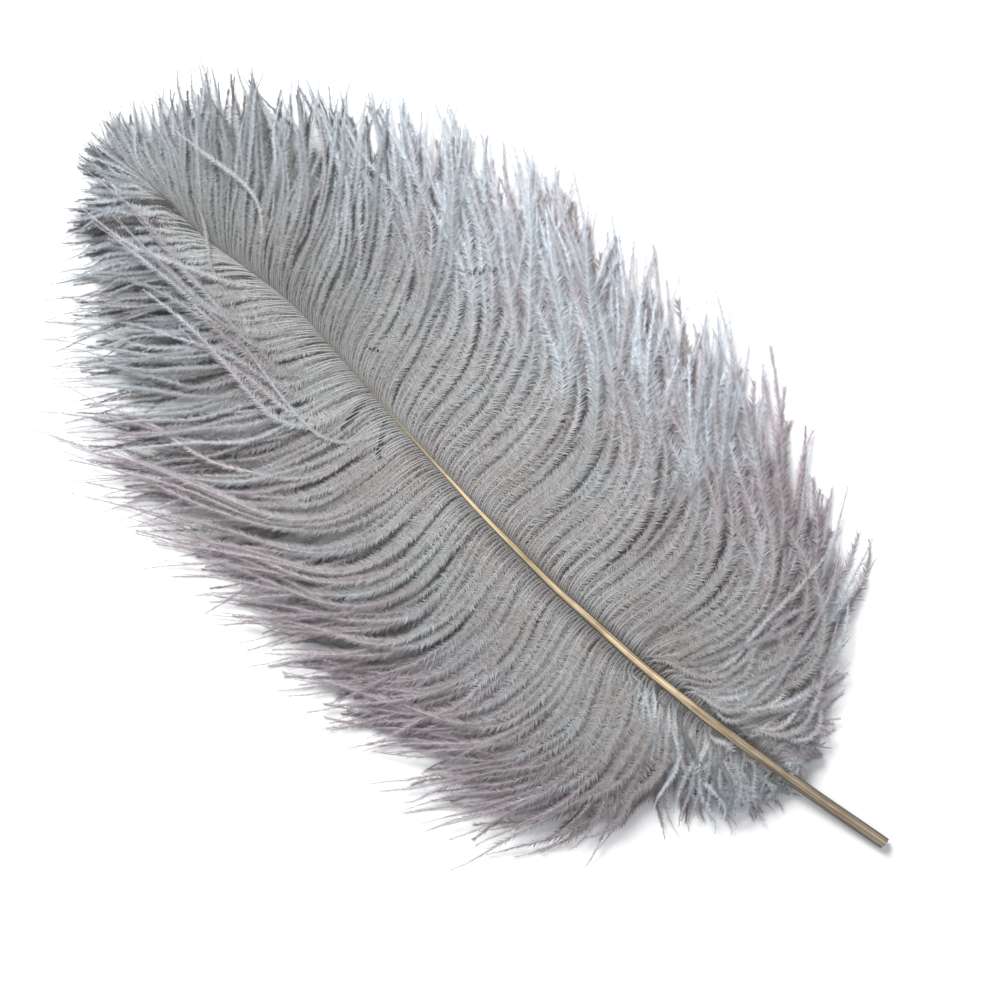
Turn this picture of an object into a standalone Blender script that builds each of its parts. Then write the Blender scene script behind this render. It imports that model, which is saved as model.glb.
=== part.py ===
"""One loose ostrich plume, dyed grey, lying on its underside.

A plume grows as one piece: a tapering shaft, bare at its lower end, with soft barbs down both
sides that hang together in curved, pointed locks. The solid is that shaft with its locks, fused.
X runs along the shaft from the cut end of the quill to the tip, Y to the left vane, Z up.
"""
import math
import random

import bpy
import bmesh
from mathutils import Matrix, Vector

# Driving dimensions, in metres. Along is the distance from the cut end of the quill.
PLUME_LENGTH = 0.420
FIRST_BARBS = 0.054          # the quill is bare up to here
LAST_BARBS = 0.381           # here the shaft has thinned away among the barbs
LOCKS_PER_SIDE = 31
CLOSER_AT_BASE = 1.22        # above 1, the locks stand closer together at the base
TIP_LOCKS = 4
LOCK_WIDTH = 0.0165
LOCK_THICKNESS = 0.0040
SEED = 3

# The shaft's line: along, across (to the left), height of its middle, width
SHAFT = (
    (0.000, 0.0000, 0.0025, 0.0048),
    (0.030, 0.0040, 0.0042, 0.0050),
    (0.065, 0.0080, 0.0082, 0.0052),
    (0.100, 0.0106, 0.0116, 0.0050),
    (0.150, 0.0119, 0.0150, 0.0040),
    (0.200, 0.0100, 0.0166, 0.0031),
    (0.245, 0.0062, 0.0166, 0.0024),
    (0.290, 0.0008, 0.0154, 0.0018),
    (0.316, -0.0015, 0.0142, 0.0015),
    (0.337, 0.0002, 0.0128, 0.0013),
    (0.358, 0.0022, 0.0112, 0.0011),
    (0.382, 0.0006, 0.0090, 0.0009),
)
SHAFT_RINGS = 24
SHAFT_SIDES = 8

# How far each vane reaches from the straight line between the shaft's ends: along, reach
LEFT_REACH = (
    (0.040, 0.000), (0.044, 0.020), (0.052, 0.038), (0.066, 0.056), (0.080, 0.066),
    (0.096, 0.090), (0.126, 0.106), (0.150, 0.111), (0.180, 0.105), (0.230, 0.102),
    (0.260, 0.104), (0.310, 0.101), (0.340, 0.092), (0.362, 0.076), (0.385, 0.054),
    (0.405, 0.030), (0.420, 0.002),
)
RIGHT_REACH = (
    (0.042, 0.000), (0.046, 0.026), (0.060, 0.050), (0.070, 0.064), (0.080, 0.076),
    (0.092, 0.084), (0.105, 0.086), (0.125, 0.089), (0.150, 0.098), (0.190, 0.106),
    (0.240, 0.102), (0.275, 0.105), (0.310, 0.094), (0.350, 0.077), (0.380, 0.060),
    (0.400, 0.048), (0.412, 0.030), (0.420, 0.004),
)

# How the barbs lie: along, angle from the tipward direction where they leave the shaft, and the
# angle that they settle to, in degrees
LEFT_FLOW = (
    (0.054, 150, 130), (0.066, 140, 105), (0.080, 132, 82), (0.100, 118, 55), (0.140, 112, 34),
    (0.200, 102, 32), (0.230, 86, 34), (0.260, 76, 36), (0.285, 66, 38), (0.310, 54, 37),
    (0.345, 46, 36), (0.368, 42, 38), (0.381, 38, 34),
)
RIGHT_FLOW = (
    (0.054, 140, 95), (0.066, 138, 75), (0.080, 132, 62), (0.100, 126, 50), (0.130, 112, 44),
    (0.160, 104, 44), (0.200, 104, 42), (0.225, 98, 42), (0.250, 86, 46), (0.280, 78, 43),
    (0.310, 72, 36), (0.335, 58, 28), (0.360, 40, 22), (0.381, 10, 4),
)
TURN_FROM = 0.010            # a lock turns from one angle to the other between these distances
TURN_TO = 0.092

# The form of one lock
ROOT_WIDTH = 0.8             # share of its full width that a lock has at the shaft
SHORT_LOCK = (0.22, 0.003)   # a short lock is only this share of its length wide, and this more
BLUNTNESS = 4                # above 1, the sides stay wide for longer before the point
TIP_THINNING = 0.65          # share of its thickness that a lock loses towards its point
WISP_SHARE = (1.00, 1.08)    # a lock's point stands this much past its vane's even outline
SWAY = 1.6                   # degrees that a lock strays from its neighbours
ARCH_HEIGHT = 0.0036         # barbs rise from the shaft before they droop
DROOP = 1.6                  # above 1, a lock stays high for longer before it comes down
LANDING = 0.88               # from this share of its length on, a lock lies on the surface
POINT_HEIGHT = (0.0002, 0.0014)
LAYER_STEP = 0.0012          # every other lock lies this much higher
ROLL = math.radians(8)       # each lock overlaps the next like a shingle
LOCK_RINGS = 7
RIGHT_STAGGER = 0.25         # share of a lock's spacing that the right side starts later
TIP_FAN = 24                 # degrees over which the last locks are fanned
TIP_SETBACK = 0.006          # they grow this far before the shaft's end

TRACE_STEP = 0.001           # lines are followed in steps of this length
SURFACE_CUT = 0.010          # depth of the block that trims the underside to the surface
SLIVER = 0.00003             # edges shorter than this are closed up
SHARP_ANGLE = math.radians(25)

VANE_GREY = (0.380, 0.380, 0.395)
QUILL_TAN = (0.520, 0.380, 0.220)


def clear_scene():
    for thing in list(bpy.data.objects):
        bpy.data.objects.remove(thing, do_unlink=True)


def between(rows, along, column):
    """A smooth curve through one column of a table, level at its highs and lows."""
    along = min(max(along, rows[0][0]), rows[-1][0])
    last = len(rows) - 1
    low = max(i for i in range(last) if rows[i][0] <= along)

    def rise(i):
        return (rows[i + 1][column] - rows[i][column]) / (rows[i + 1][0] - rows[i][0])

    def slope(i):
        if i == 0:
            return rise(0)
        if i == last:
            return rise(last - 1)
        before, after = rise(i - 1), rise(i)
        return 0.0 if before * after <= 0 else 2 * before * after / (before + after)

    span = rows[low + 1][0] - rows[low][0]
    t = (along - rows[low][0]) / span
    start, end = rows[low][column], rows[low + 1][column]
    leave, arrive = slope(low) * span, slope(low + 1) * span
    return ((2 * t**3 - 3 * t**2 + 1) * start + (t**3 - 2 * t**2 + t) * leave
            + (3 * t**2 - 2 * t**3) * end + (t**3 - t**2) * arrive)


def shaft_point(along):
    return Vector((along, between(SHAFT, along, 1), between(SHAFT, along, 2)))


def trace(root, side, leaving, settled, share):
    """The lock's line seen from above, from the shaft to its share of the vane's reach."""
    reach = LEFT_REACH if side > 0 else RIGHT_REACH
    base = shaft_point(root)
    x, y, gone = base.x, base.y, 0.0
    line = [(x, y)]
    while reach[0][0] < x < PLUME_LENGTH and side * y < between(reach, x, 1):
        part = min(max((gone - TURN_FROM) / (TURN_TO - TURN_FROM), 0), 1)
        turned = part * part * (3 - 2 * part)
        angle = math.radians(leaving + (settled - leaving) * turned)
        x += TRACE_STEP * math.cos(angle)
        y += side * TRACE_STEP * math.sin(angle)
        gone += TRACE_STEP
        line.append((x, y))
    for _ in range(round((share - 1) * len(line))):
        x += TRACE_STEP * math.cos(angle)
        y += side * TRACE_STEP * math.sin(angle)
        if x < PLUME_LENGTH:
            line.append((x, y))
    return line


def lofted(name, rings, finish):
    """A closed body through rings of points, the last of which may be a single point."""
    mesh = bmesh.new()
    loops = [[mesh.verts.new(point) for point in ring] for ring in rings]
    for near, far in zip(loops, loops[1:]):
        count = len(near)
        for i in range(count):
            j = (i + 1) % count
            if len(far) == 1:
                mesh.faces.new((near[i], near[j], far[0]))
            else:
                mesh.faces.new((near[i], near[j], far[j], far[i]))
    mesh.faces.new(loops[0])
    if len(loops[-1]) > 1:
        mesh.faces.new(loops[-1])
    bmesh.ops.recalc_face_normals(mesh, faces=mesh.faces[:])
    bmesh.ops.triangulate(mesh, faces=mesh.faces[:])
    data = bpy.data.meshes.new(name)
    mesh.to_mesh(data)
    mesh.free()
    data.materials.append(finish)
    thing = bpy.data.objects.new(name, data)
    bpy.context.scene.collection.objects.link(thing)
    return thing


def shaft_body(finish):
    rings = []
    for i in range(SHAFT_RINGS + 1):
        along = LAST_BARBS * i / SHAFT_RINGS
        middle = shaft_point(along)
        heading = (shaft_point(along + TRACE_STEP) - shaft_point(along - TRACE_STEP)).normalized()
        sideways = Vector((0, 0, 1)).cross(heading).normalized()
        upward = heading.cross(sideways)
        radius = between(SHAFT, along, 3) / 2
        rings.append([
            middle + radius * (math.cos(turn) * sideways + math.sin(turn) * upward)
            for turn in (math.tau * (k + 0.5) / SHAFT_SIDES for k in range(SHAFT_SIDES))
        ])
    return lofted("feather", rings, finish)


def lock_body(name, line, layer, point_height, finish):
    """A flat, pointed lock along a line: four-sided, ridged above and below."""
    base = shaft_point(line[0][0])
    base.z -= LOCK_THICKNESS / 2
    length = TRACE_STEP * (len(line) - 1)
    width = min(LOCK_WIDTH, SHORT_LOCK[0] * length + SHORT_LOCK[1])
    rings = []
    for i in range(LOCK_RINGS + 1):
        t = i / LOCK_RINGS
        place = round(t * (len(line) - 1))
        before, after = line[max(place - 1, 0)], line[min(place + 1, len(line) - 1)]
        heading = Vector((after[0] - before[0], after[1] - before[1], 0)).normalized()
        held_up = max(0.0, 1 - (t / LANDING) ** DROOP)
        height = point_height + (base.z - point_height) * held_up
        height += ARCH_HEIGHT * math.sin(math.pi * t ** 0.7) * (1 - t)
        height += layer * math.sin(math.pi * min(t * DROOP, 1))
        middle = Vector((*line[place], height))
        if i == LOCK_RINGS:
            rings.append([middle])
            continue
        sideways = Vector((0, 0, 1)).cross(heading)
        sideways = Matrix.Rotation(ROLL * min(1, 3 * t), 3, heading) @ sideways
        swell = ROOT_WIDTH + (1 - ROOT_WIDTH) * math.sin(math.pi * min(t, 0.5))
        half = width / 2 * swell * (1 - t ** BLUNTNESS)
        up = Vector((0, 0, LOCK_THICKNESS / 2 * (1 - TIP_THINNING * t)))
        rings.append([middle - half * sideways, middle - up, middle + half * sideways, middle + up])
    return lofted(name, rings, finish)


def lock_lines(chance):
    """Number and line of every lock: up both vanes, then fanned round the tip."""
    for k in range(LOCKS_PER_SIDE):
        for side, flow in ((1, LEFT_FLOW), (-1, RIGHT_FLOW)):
            place = (k + RIGHT_STAGGER * (side < 0)) / LOCKS_PER_SIDE
            root = FIRST_BARBS + (LAST_BARBS - FIRST_BARBS) * place ** CLOSER_AT_BASE
            sway = chance.uniform(-SWAY, SWAY)
            share = chance.uniform(*WISP_SHARE)
            leaving, settled = between(flow, root, 1), between(flow, root, 2)
            yield k, trace(root, side, leaving + sway, settled + sway, share)
    for k in range(TIP_LOCKS):
        angle = TIP_FAN * (1 - k / (TIP_LOCKS - 1))
        share = chance.uniform(*WISP_SHARE)
        yield k, trace(LAST_BARBS - TIP_SETBACK, 1, angle, angle, share)


def material(name, colour, roughness):
    made = bpy.data.materials.new(name)
    made.use_nodes = True
    shader = made.node_tree.nodes["Principled BSDF"]
    shader.inputs["Base Color"].default_value = (*colour, 1)
    shader.inputs["Roughness"].default_value = roughness
    shader.inputs["Metallic"].default_value = 0
    made.diffuse_color = (*colour, 1)
    return made


def boolean(thing, name, operation, **operand):
    step = thing.modifiers.new(name, "BOOLEAN")
    step.solver = "EXACT"
    step.operation = operation
    for key, value in operand.items():
        setattr(step, key, value)


def guide(thing):
    thing.hide_render = True
    thing.display_type = "WIRE"


def centre_on_origin(things):
    """Moves everything so that the middle of its plan is at the origin."""
    points = [vertex.co for thing in things for vertex in thing.data.vertices]
    middle = [(min(p[i] for p in points) + max(p[i] for p in points)) / 2 for i in (0, 1)]
    for thing in things:
        thing.data.transform(Matrix.Translation((-middle[0], -middle[1], 0)))


def merge_slivers(mesh):
    """Closes up one round of very short edges, each only where the surface stays closed."""
    merged = 0
    for edge in sorted(mesh.edges, key=lambda each: each.calc_length()):
        if not edge.is_valid:
            continue
        if edge.calc_length() > SLIVER:
            break
        near, far = edge.verts
        beside = [{e.other_vert(vertex) for e in vertex.link_edges} for vertex in (near, far)]
        if len(beside[0] & beside[1]) == 2:
            bmesh.ops.pointmerge(mesh, verts=[near, far], merge_co=(near.co + far.co) / 2)
            merged += 1
    return merged


def fill_bubbles(thing):
    """Applies the steps on a thing and drops the tiny spaces sealed in between its locks."""
    bpy.context.view_layer.update()
    seen = thing.evaluated_get(bpy.context.evaluated_depsgraph_get())
    fused = bpy.data.meshes.new_from_object(seen)
    thing.modifiers.clear()
    mesh = bmesh.new()
    mesh.from_mesh(fused)
    shells, left = [], set(mesh.faces)
    while left:
        shell, edge_of_it = set(), [left.pop()]
        while edge_of_it:
            face = edge_of_it.pop()
            shell.add(face)
            beside = {other for edge in face.edges for other in edge.link_faces} & left
            left -= beside
            edge_of_it.extend(beside)
        shells.append(shell)
    outside = max(shells, key=len)
    inside = [vertex for vertex in mesh.verts if vertex.link_faces[0] not in outside]
    bmesh.ops.delete(mesh, geom=inside, context="VERTS")
    bmesh.ops.triangulate(mesh, faces=mesh.faces[:])
    while merge_slivers(mesh):
        pass
    mesh.to_mesh(fused)
    mesh.free()
    fused.shade_smooth()
    fused.set_sharp_from_angle(angle=SHARP_ANGLE)
    thing.data = fused


def build():
    clear_scene()
    chance = random.Random(SEED)
    quill = material("quill keratin", QUILL_TAN, 0.45)
    vane = material("dyed barbs", VANE_GREY, 0.9)
    feather = shaft_body(quill)
    feather.data.materials.append(vane)

    locks = bpy.data.collections.new("locks")
    bpy.context.scene.collection.children.link(locks)
    for number, (layer, line) in enumerate(lock_lines(chance)):
        lock = lock_body(f"lock_{number:02d}", line, LAYER_STEP * (layer % 2),
                         chance.uniform(*POINT_HEIGHT), vane)
        bpy.context.scene.collection.objects.unlink(lock)
        locks.objects.link(lock)
        guide(lock)

    centre_on_origin([feather, *locks.objects])
    bpy.ops.mesh.primitive_cube_add(size=1, location=(0, 0, -SURFACE_CUT / 2))
    surface = bpy.context.object
    surface.name = "surface"
    surface.scale = (2 * PLUME_LENGTH, 2 * PLUME_LENGTH, SURFACE_CUT)
    guide(surface)

    boolean(feather, "fuse the locks", "UNION", operand_type="COLLECTION", collection=locks)
    boolean(feather, "trim to the surface", "DIFFERENCE", operand_type="OBJECT", object=surface)
    fill_bubbles(feather)


build()
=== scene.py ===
import math

import bpy
import numpy as np
from mathutils import Matrix, Vector


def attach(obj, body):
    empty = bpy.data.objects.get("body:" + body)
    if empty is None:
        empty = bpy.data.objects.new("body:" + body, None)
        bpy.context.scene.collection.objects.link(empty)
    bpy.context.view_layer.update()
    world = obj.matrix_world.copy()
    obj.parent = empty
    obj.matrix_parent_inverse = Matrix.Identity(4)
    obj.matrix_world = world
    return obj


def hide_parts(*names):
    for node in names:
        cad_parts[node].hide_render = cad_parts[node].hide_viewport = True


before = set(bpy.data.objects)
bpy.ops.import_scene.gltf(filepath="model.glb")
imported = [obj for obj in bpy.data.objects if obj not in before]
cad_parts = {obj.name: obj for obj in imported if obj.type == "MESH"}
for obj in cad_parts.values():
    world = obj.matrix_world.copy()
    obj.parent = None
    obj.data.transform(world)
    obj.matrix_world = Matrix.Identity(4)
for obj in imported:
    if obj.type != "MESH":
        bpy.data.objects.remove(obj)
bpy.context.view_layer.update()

# ---------------------------------------------------------------------------------------------
# Floor, daylight and camera. The plume lies on a matt white sweep under one large soft window
# from the top of the picture, with pale walls all round. The camera looks straight down.

MM = 0.001
FLOOR_SIDE = 4.0
FLOOR_WHITE = "f2f2f3"
SKY_STRENGTH = 0.48
SKY_TINT = (0.97, 0.985, 1, 1)
LENS = 135                        # a long lens, mm
SENSOR = 36
PICTURE_WIDTH = 0.395             # what the picture takes in across, on the floor
PICTURE_CENTRE = (0.2034, 0.0010)  # along and across from the cut end of the quill
TIP_IN_PICTURE = (-0.7426, 0.6698)  # which way the shaft points in the picture, right and up
WINDOW_FROM_TOP = 24              # degrees that the window stands to the left of the picture's top
WINDOW_HEIGHT = 42                # degrees above the floor
WINDOW_AWAY = 1.6
WINDOW_SIZE = 0.75
WINDOW_POWER = 37
WALL_FROM_WINDOW = 190            # degrees round from the window to the pale wall
WALL_HEIGHT = 35
WALL_AWAY = 2.0
WALL_SIZE = 1.8
WALL_POWER = 7


def from_hex(code):
    """A colour written as sRGB hex, turned to the linear numbers that shaders take."""
    parts = [int(code[i:i + 2], 16) / 255 for i in (0, 2, 4)]
    return (*(p / 12.92 if p <= 0.04045 else ((p + 0.055) / 1.055) ** 2.4 for p in parts), 1)


def add_node(tree, kind, settings, inputs):
    """Adds a shader node. An input takes a value, or the output that feeds it."""
    made = tree.nodes.new("ShaderNode" + kind)
    for name, value in settings.items():
        setattr(made, name, value)
    for name, value in inputs.items():
        if isinstance(value, bpy.types.NodeSocket):
            tree.links.new(value, made.inputs[name])
        else:
            made.inputs[name].default_value = value
    return made


def new_material(name, **inputs):
    """A material with one Principled shader, whose constant values are set on its own sockets."""
    made = bpy.data.materials.new(name)
    made.use_nodes = True
    shader = made.node_tree.nodes["Principled BSDF"]
    for label, value in inputs.items():
        shader.inputs[label.replace("_", " ")].default_value = value
    return made, made.node_tree, shader


feather_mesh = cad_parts["feather"].data
corners = np.array([vertex.co for vertex in feather_mesh.vertices])
cut_ring = corners[corners[:, 0] < corners[:, 0].min() + MM]
CUT_END = Vector((cut_ring[:, 0].mean(), cut_ring[:, 1].mean(), 0))

bpy.ops.object.select_all(action="DESELECT")
bpy.ops.mesh.primitive_plane_add(size=FLOOR_SIDE)
floor = bpy.context.object
floor.name = "floor"
paper = new_material("matt white paper", Base_Color=from_hex(FLOOR_WHITE), Roughness=0.9)[0]
floor.data.materials.append(paper)

tip_right, tip_up = TIP_IN_PICTURE
picture_right = Vector((tip_right, -tip_up, 0)).normalized()
picture_up = Vector((tip_up, tip_right, 0)).normalized()
camera_away = PICTURE_WIDTH * LENS / SENSOR
aim = CUT_END + Vector((*PICTURE_CENTRE, 0))
bpy.ops.object.camera_add()
camera = bpy.context.object
camera.data.lens = LENS
camera.data.sensor_width = SENSOR
camera.matrix_world = Matrix.Translation(aim + Vector((0, 0, camera_away))) @ Matrix(
    (picture_right, picture_up, (0, 0, 1))).transposed().to_4x4()
bpy.context.scene.camera = camera


def soft_light(name, towards, height, away, size, power):
    """A square soft light that faces the plume. Towards is degrees left of the picture's top."""
    turn = math.radians(towards)
    flat = picture_up * math.cos(turn) - picture_right * math.sin(turn)
    rise = math.radians(height)
    from_plume = flat * math.cos(rise) + Vector((0, 0, math.sin(rise)))
    bpy.ops.object.light_add(type="AREA", location=aim + from_plume * away)
    light = bpy.context.object
    light.name = name
    light.data.shape = "SQUARE"
    light.data.size = size
    light.data.energy = power
    light.rotation_euler = from_plume.to_track_quat("Z", "Y").to_euler()
    light.visible_camera = False


soft_light("window", WINDOW_FROM_TOP, WINDOW_HEIGHT, WINDOW_AWAY, WINDOW_SIZE, WINDOW_POWER)
soft_light("pale wall", WINDOW_FROM_TOP + WALL_FROM_WINDOW, WALL_HEIGHT, WALL_AWAY, WALL_SIZE,
           WALL_POWER)
sky = bpy.data.worlds.new("pale room")
sky.use_nodes = True
sky_light = sky.node_tree.nodes["Background"]
sky_light.inputs["Color"].default_value = SKY_TINT
sky_light.inputs["Strength"].default_value = SKY_STRENGTH
bpy.context.scene.world = sky
bpy.context.scene.view_settings.view_transform = "Standard"

# ---------------------------------------------------------------------------------------------
# The shaft: a hollow, bare quill that runs on as the tapering rachis between the two vanes. It
# is keratin, tan and waxy, streaked lengthwise and cut off by hand, with painted shade down both
# edges and a painted highlight along its top.

# along from the cut end, across to the left vane, height of its middle, width
SHAFT = (
    (0.000, 0.0000, 0.0025, 0.0047),
    (0.030, 0.0040, 0.0042, 0.0049),
    (0.065, 0.0081, 0.0082, 0.0046),
    (0.090, 0.0104, 0.0108, 0.0042),
    (0.125, 0.0121, 0.0136, 0.0037),
    (0.160, 0.0121, 0.0154, 0.0032),
    (0.200, 0.0102, 0.0166, 0.0025),
    (0.230, 0.0076, 0.0167, 0.0018),
    (0.255, 0.0050, 0.0164, 0.0012),
    (0.290, 0.0009, 0.0154, 0.0009),
    (0.316, -0.0013, 0.0142, 0.0007),
    (0.337, 0.0002, 0.0128, 0.0006),
    (0.358, 0.0022, 0.0112, 0.0006),
    (0.382, 0.0006, 0.0090, 0.0005),
)
SHAFT_STEPS = 64
SHAFT_SIDES = 20
RACHIS_HEIGHT = 0.86              # its height as a share of its width
QUILL_WALL = 0.55 * MM
HOLLOW_DEPTH = 5 * MM
CUT_SLANT = 9                     # degrees
HOLLOW_RADIUS = 0.85              # share of the radius inside which it is pith
FURROW_DEPTH = 0.05               # share of the radius
FURROWS_ROUND = (5, 9)            # two sets of them, which cross
FURROW_SWAY = 1.3                 # radians that the first set sways to either side
FURROW_SWAY_RATE = 40             # radians a metre
FURROW_TWIST = 30                 # radians a metre that the second set winds round
FIBRES_ALONG = 10                 # fibres from end to end and round the shaft: the coarsest are
FIBRES_ROUND = 16                 # some 0.9 mm wide and 38 mm long
FIBRE_RELIEF = 0.15 * MM
STAINS_PER_METRE = 140            # blotches some 7 mm across
TAN = "b29c7c"
# painted highlight along the top of the shaft
CREAM = "dccaa8"                  # the sunlit ridge
# painted shade down both edges of the shaft, where the barbs leave it
PAINTED_EDGE_SHADE = "453a2d"
QUILL_OLIVE = "887c6c"            # the bare end
RACHIS_GREY = "62594c"            # the thin end, which took more dye
STAIN_BROWN = "6b543a"
PITH_BROWN = "3d3226"


def read_table(rows, along, column):
    """A smooth curve through one column of a table, level at its highs and lows."""
    x = np.array([row[0] for row in rows])
    y = np.array([row[column] for row in rows])
    rise = np.diff(y) / np.diff(x)
    both = rise[:-1] + rise[1:]
    same_way = rise[:-1] * rise[1:] > 0
    inner = np.where(same_way, 2 * rise[:-1] * rise[1:] / np.where(same_way, both, 1), 0)
    slope = np.concatenate(([rise[0]], inner, [rise[-1]]))
    at = np.clip(along, x[0], x[-1])
    low = np.clip(np.searchsorted(x, at, side="right") - 1, 0, len(x) - 2)
    span = x[low + 1] - x[low]
    t = (at - x[low]) / span
    return ((2 * t**3 - 3 * t**2 + 1) * y[low] + (t**3 - 2 * t**2 + t) * slope[low] * span
            + (3 * t**2 - 2 * t**3) * y[low + 1] + (t**3 - t**2) * slope[low + 1] * span)


def shaft_place(along):
    """The middle of the shaft at a distance from its cut end."""
    return CUT_END + Vector((along, *(float(read_table(SHAFT, along, k)) for k in (1, 2))))


def select_end(mesh, direction):
    """Selects the end cap that faces most in a direction, in edit mode."""
    bpy.ops.mesh.select_all(action="DESELECT")
    bpy.ops.object.mode_set(mode="OBJECT")
    cap = max(mesh.polygons, key=lambda face: (len(face.vertices), face.normal.dot(direction)))
    cap.select = True
    bpy.ops.object.mode_set(mode="EDIT")


bpy.ops.object.select_all(action="DESELECT")
stations = [SHAFT[-1][0] * (k / SHAFT_STEPS) for k in range(SHAFT_STEPS + 1)]
start, second = shaft_place(stations[0]), shaft_place(stations[1])
bpy.ops.mesh.primitive_cylinder_add(
    vertices=SHAFT_SIDES, radius=SHAFT[0][3] / 2, depth=(second - start).length,
    location=(start + second) / 2, rotation=(second - start).to_track_quat("Z", "Y").to_euler())
shaft = bpy.context.object
shaft.name = "quill"
bpy.ops.object.transform_apply(location=True, rotation=True, scale=True)
bpy.ops.object.mode_set(mode="EDIT")
bpy.ops.mesh.select_mode(type="FACE")
select_end(shaft.data, second - start)
here, heading = second, (second - start).normalized()
width = SHAFT[0][3]
for along in stations[2:]:
    there = shaft_place(along)
    new_heading = (there - here).normalized()
    new_width = float(read_table(SHAFT, along, 3))
    bpy.ops.mesh.extrude_region_move(TRANSFORM_OT_translate={"value": there - here})
    bpy.ops.transform.resize(value=(new_width / width,) * 3, center_override=there)
    turn = math.atan2(new_heading.y, new_heading.x) - math.atan2(heading.y, heading.x)
    bpy.ops.transform.rotate(value=turn, orient_axis="Z", center_override=there)
    here, heading, width = there, new_heading, new_width
select_end(shaft.data, start - second)
bpy.ops.transform.rotate(value=math.radians(CUT_SLANT), orient_axis="Z", center_override=start)
bpy.ops.mesh.inset(thickness=QUILL_WALL)
bpy.ops.mesh.extrude_region_move(
    TRANSFORM_OT_translate={"value": (second - start).normalized() * HOLLOW_DEPTH})
bpy.ops.object.mode_set(mode="OBJECT")


def lay_shaft_rings(mesh):
    """Flattens the rachis, cuts faint furrows along it and notes round and along on each point."""
    place = np.array([vertex.co for vertex in mesh.vertices])
    along = np.clip(place[:, 0] - CUT_END.x, 0, None)
    middle = np.stack([CUT_END.y + read_table(SHAFT, along, 1), read_table(SHAFT, along, 2)], 1)
    off = place[:, 1:] - middle
    round_it = np.arctan2(off[:, 0], off[:, 1])
    swaying = np.sin(FURROWS_ROUND[0] * round_it + FURROW_SWAY * np.sin(along * FURROW_SWAY_RATE))
    winding = np.sin(FURROWS_ROUND[1] * round_it + along * FURROW_TWIST)
    furrow = 1 + FURROW_DEPTH * swaying * winding
    place[:, 1:] = middle + off * furrow[:, None] * (1, RACHIS_HEIGHT)
    mesh.vertices.foreach_set("co", place.ravel())
    away = np.linalg.norm(off, axis=1)
    radius = read_table(SHAFT, along, 3) / 2
    facing = np.cos(round_it) * np.clip(away / radius, 0, 1)
    inside = away < HOLLOW_RADIUS * radius
    marks = np.stack([facing, along / SHAFT[-1][0], round_it / math.pi, inside], 1)
    layer = mesh.color_attributes.new("shaft", "FLOAT_COLOR", "POINT")
    layer.data.foreach_set("color", marks.astype(np.float32).ravel())


lay_shaft_rings(shaft.data)
bpy.ops.object.shade_smooth_by_angle(angle=math.radians(50))

keratin, tree, shader = new_material("waxy quill keratin", Roughness=0.42, IOR=1.54)
marks = add_node(tree, "VertexColor", {"layer_name": "shaft"}, {})
split = add_node(tree, "SeparateColor", {}, {"Color": marks.outputs["Color"]})
facing, along_it, round_it = (split.outputs[k] for k in range(3))
inside = marks.outputs["Alpha"]
place = add_node(tree, "TexCoord", {}, {})
# fibres in the keratin, which run along the shaft
ring_place = add_node(tree, "CombineXYZ", {}, {"X": along_it, "Y": round_it})
stretch = add_node(tree, "Mapping", {}, {
    "Vector": ring_place.outputs["Vector"], "Scale": (FIBRES_ALONG, FIBRES_ROUND / 2, 1)})
fibres = add_node(tree, "TexNoise", {}, {
    "Vector": stretch.outputs["Vector"], "Scale": 1.0, "Detail": 3.0, "Roughness": 0.65})
blotch = add_node(tree, "TexNoise", {}, {
    "Vector": place.outputs["Object"], "Scale": STAINS_PER_METRE, "Detail": 2.0})
# painted shade: the shaft's sides, turned away from its top, are painted dark brown
edge_shade = add_node(tree, "MapRange", {"interpolation_type": "SMOOTHSTEP"}, {
    "Value": facing, "From Min": 0.42, "From Max": 0.78, "To Min": 0.0, "To Max": 1.0})
# painted highlight: the top of the shaft, where it faces the light, is painted cream
ridge_highlight = add_node(tree, "MapRange", {"interpolation_type": "SMOOTHSTEP"}, {
    "Value": facing, "From Min": 0.80, "From Max": 0.99, "To Min": 0.0, "To Max": 0.75})
bare = add_node(tree, "MapRange", {"interpolation_type": "SMOOTHSTEP"}, {
    "Value": along_it, "From Min": 0.30, "From Max": 0.12, "To Min": 0.0, "To Max": 0.85})
grey_end = add_node(tree, "MapRange", {"interpolation_type": "SMOOTHSTEP"}, {
    "Value": along_it, "From Min": 0.56, "From Max": 0.72, "To Min": 0.0, "To Max": 0.9})


def mix_colours(tree, how_much, first, second, blend="MIX"):
    """The colour between two colours, each a hex code or an output."""
    pair = [from_hex(c) if isinstance(c, str) else c for c in (first, second)]
    made = add_node(tree, "Mix", {"data_type": "RGBA", "blend_type": blend},
                    {0: how_much, 6: pair[0], 7: pair[1]})
    return made.outputs[2]


tan = mix_colours(tree, ridge_highlight.outputs["Result"], TAN, CREAM)
tan = mix_colours(tree, bare.outputs["Result"], tan, QUILL_OLIVE)
streak = add_node(tree, "MapRange", {}, {
    "Value": fibres.outputs["Fac"], "From Min": 0.42, "From Max": 0.58, "To Min": 0.45, "To Max": 1.2})
tan = mix_colours(tree, 1.0, tan, streak.outputs["Result"], "MULTIPLY")
tan = mix_colours(tree, grey_end.outputs["Result"], tan, RACHIS_GREY)
stain = add_node(tree, "MapRange", {}, {
    "Value": blotch.outputs["Fac"], "From Min": 0.5, "From Max": 0.75, "To Min": 0.0, "To Max": 0.45})
tan = mix_colours(tree, stain.outputs["Result"], tan, STAIN_BROWN)
tan = mix_colours(tree, edge_shade.outputs["Result"], PAINTED_EDGE_SHADE, tan)
tan = mix_colours(tree, inside, tan, PITH_BROWN)
tree.links.new(tan, shader.inputs["Base Color"])
bump = add_node(tree, "Bump", {}, {
    "Height": fibres.outputs["Fac"], "Strength": 0.35, "Distance": FIBRE_RELIEF})
tree.links.new(bump.outputs["Normal"], shader.inputs["Normal"])
shaft.data.materials.append(keratin)
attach(shaft, "root")
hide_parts("feather")

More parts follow.
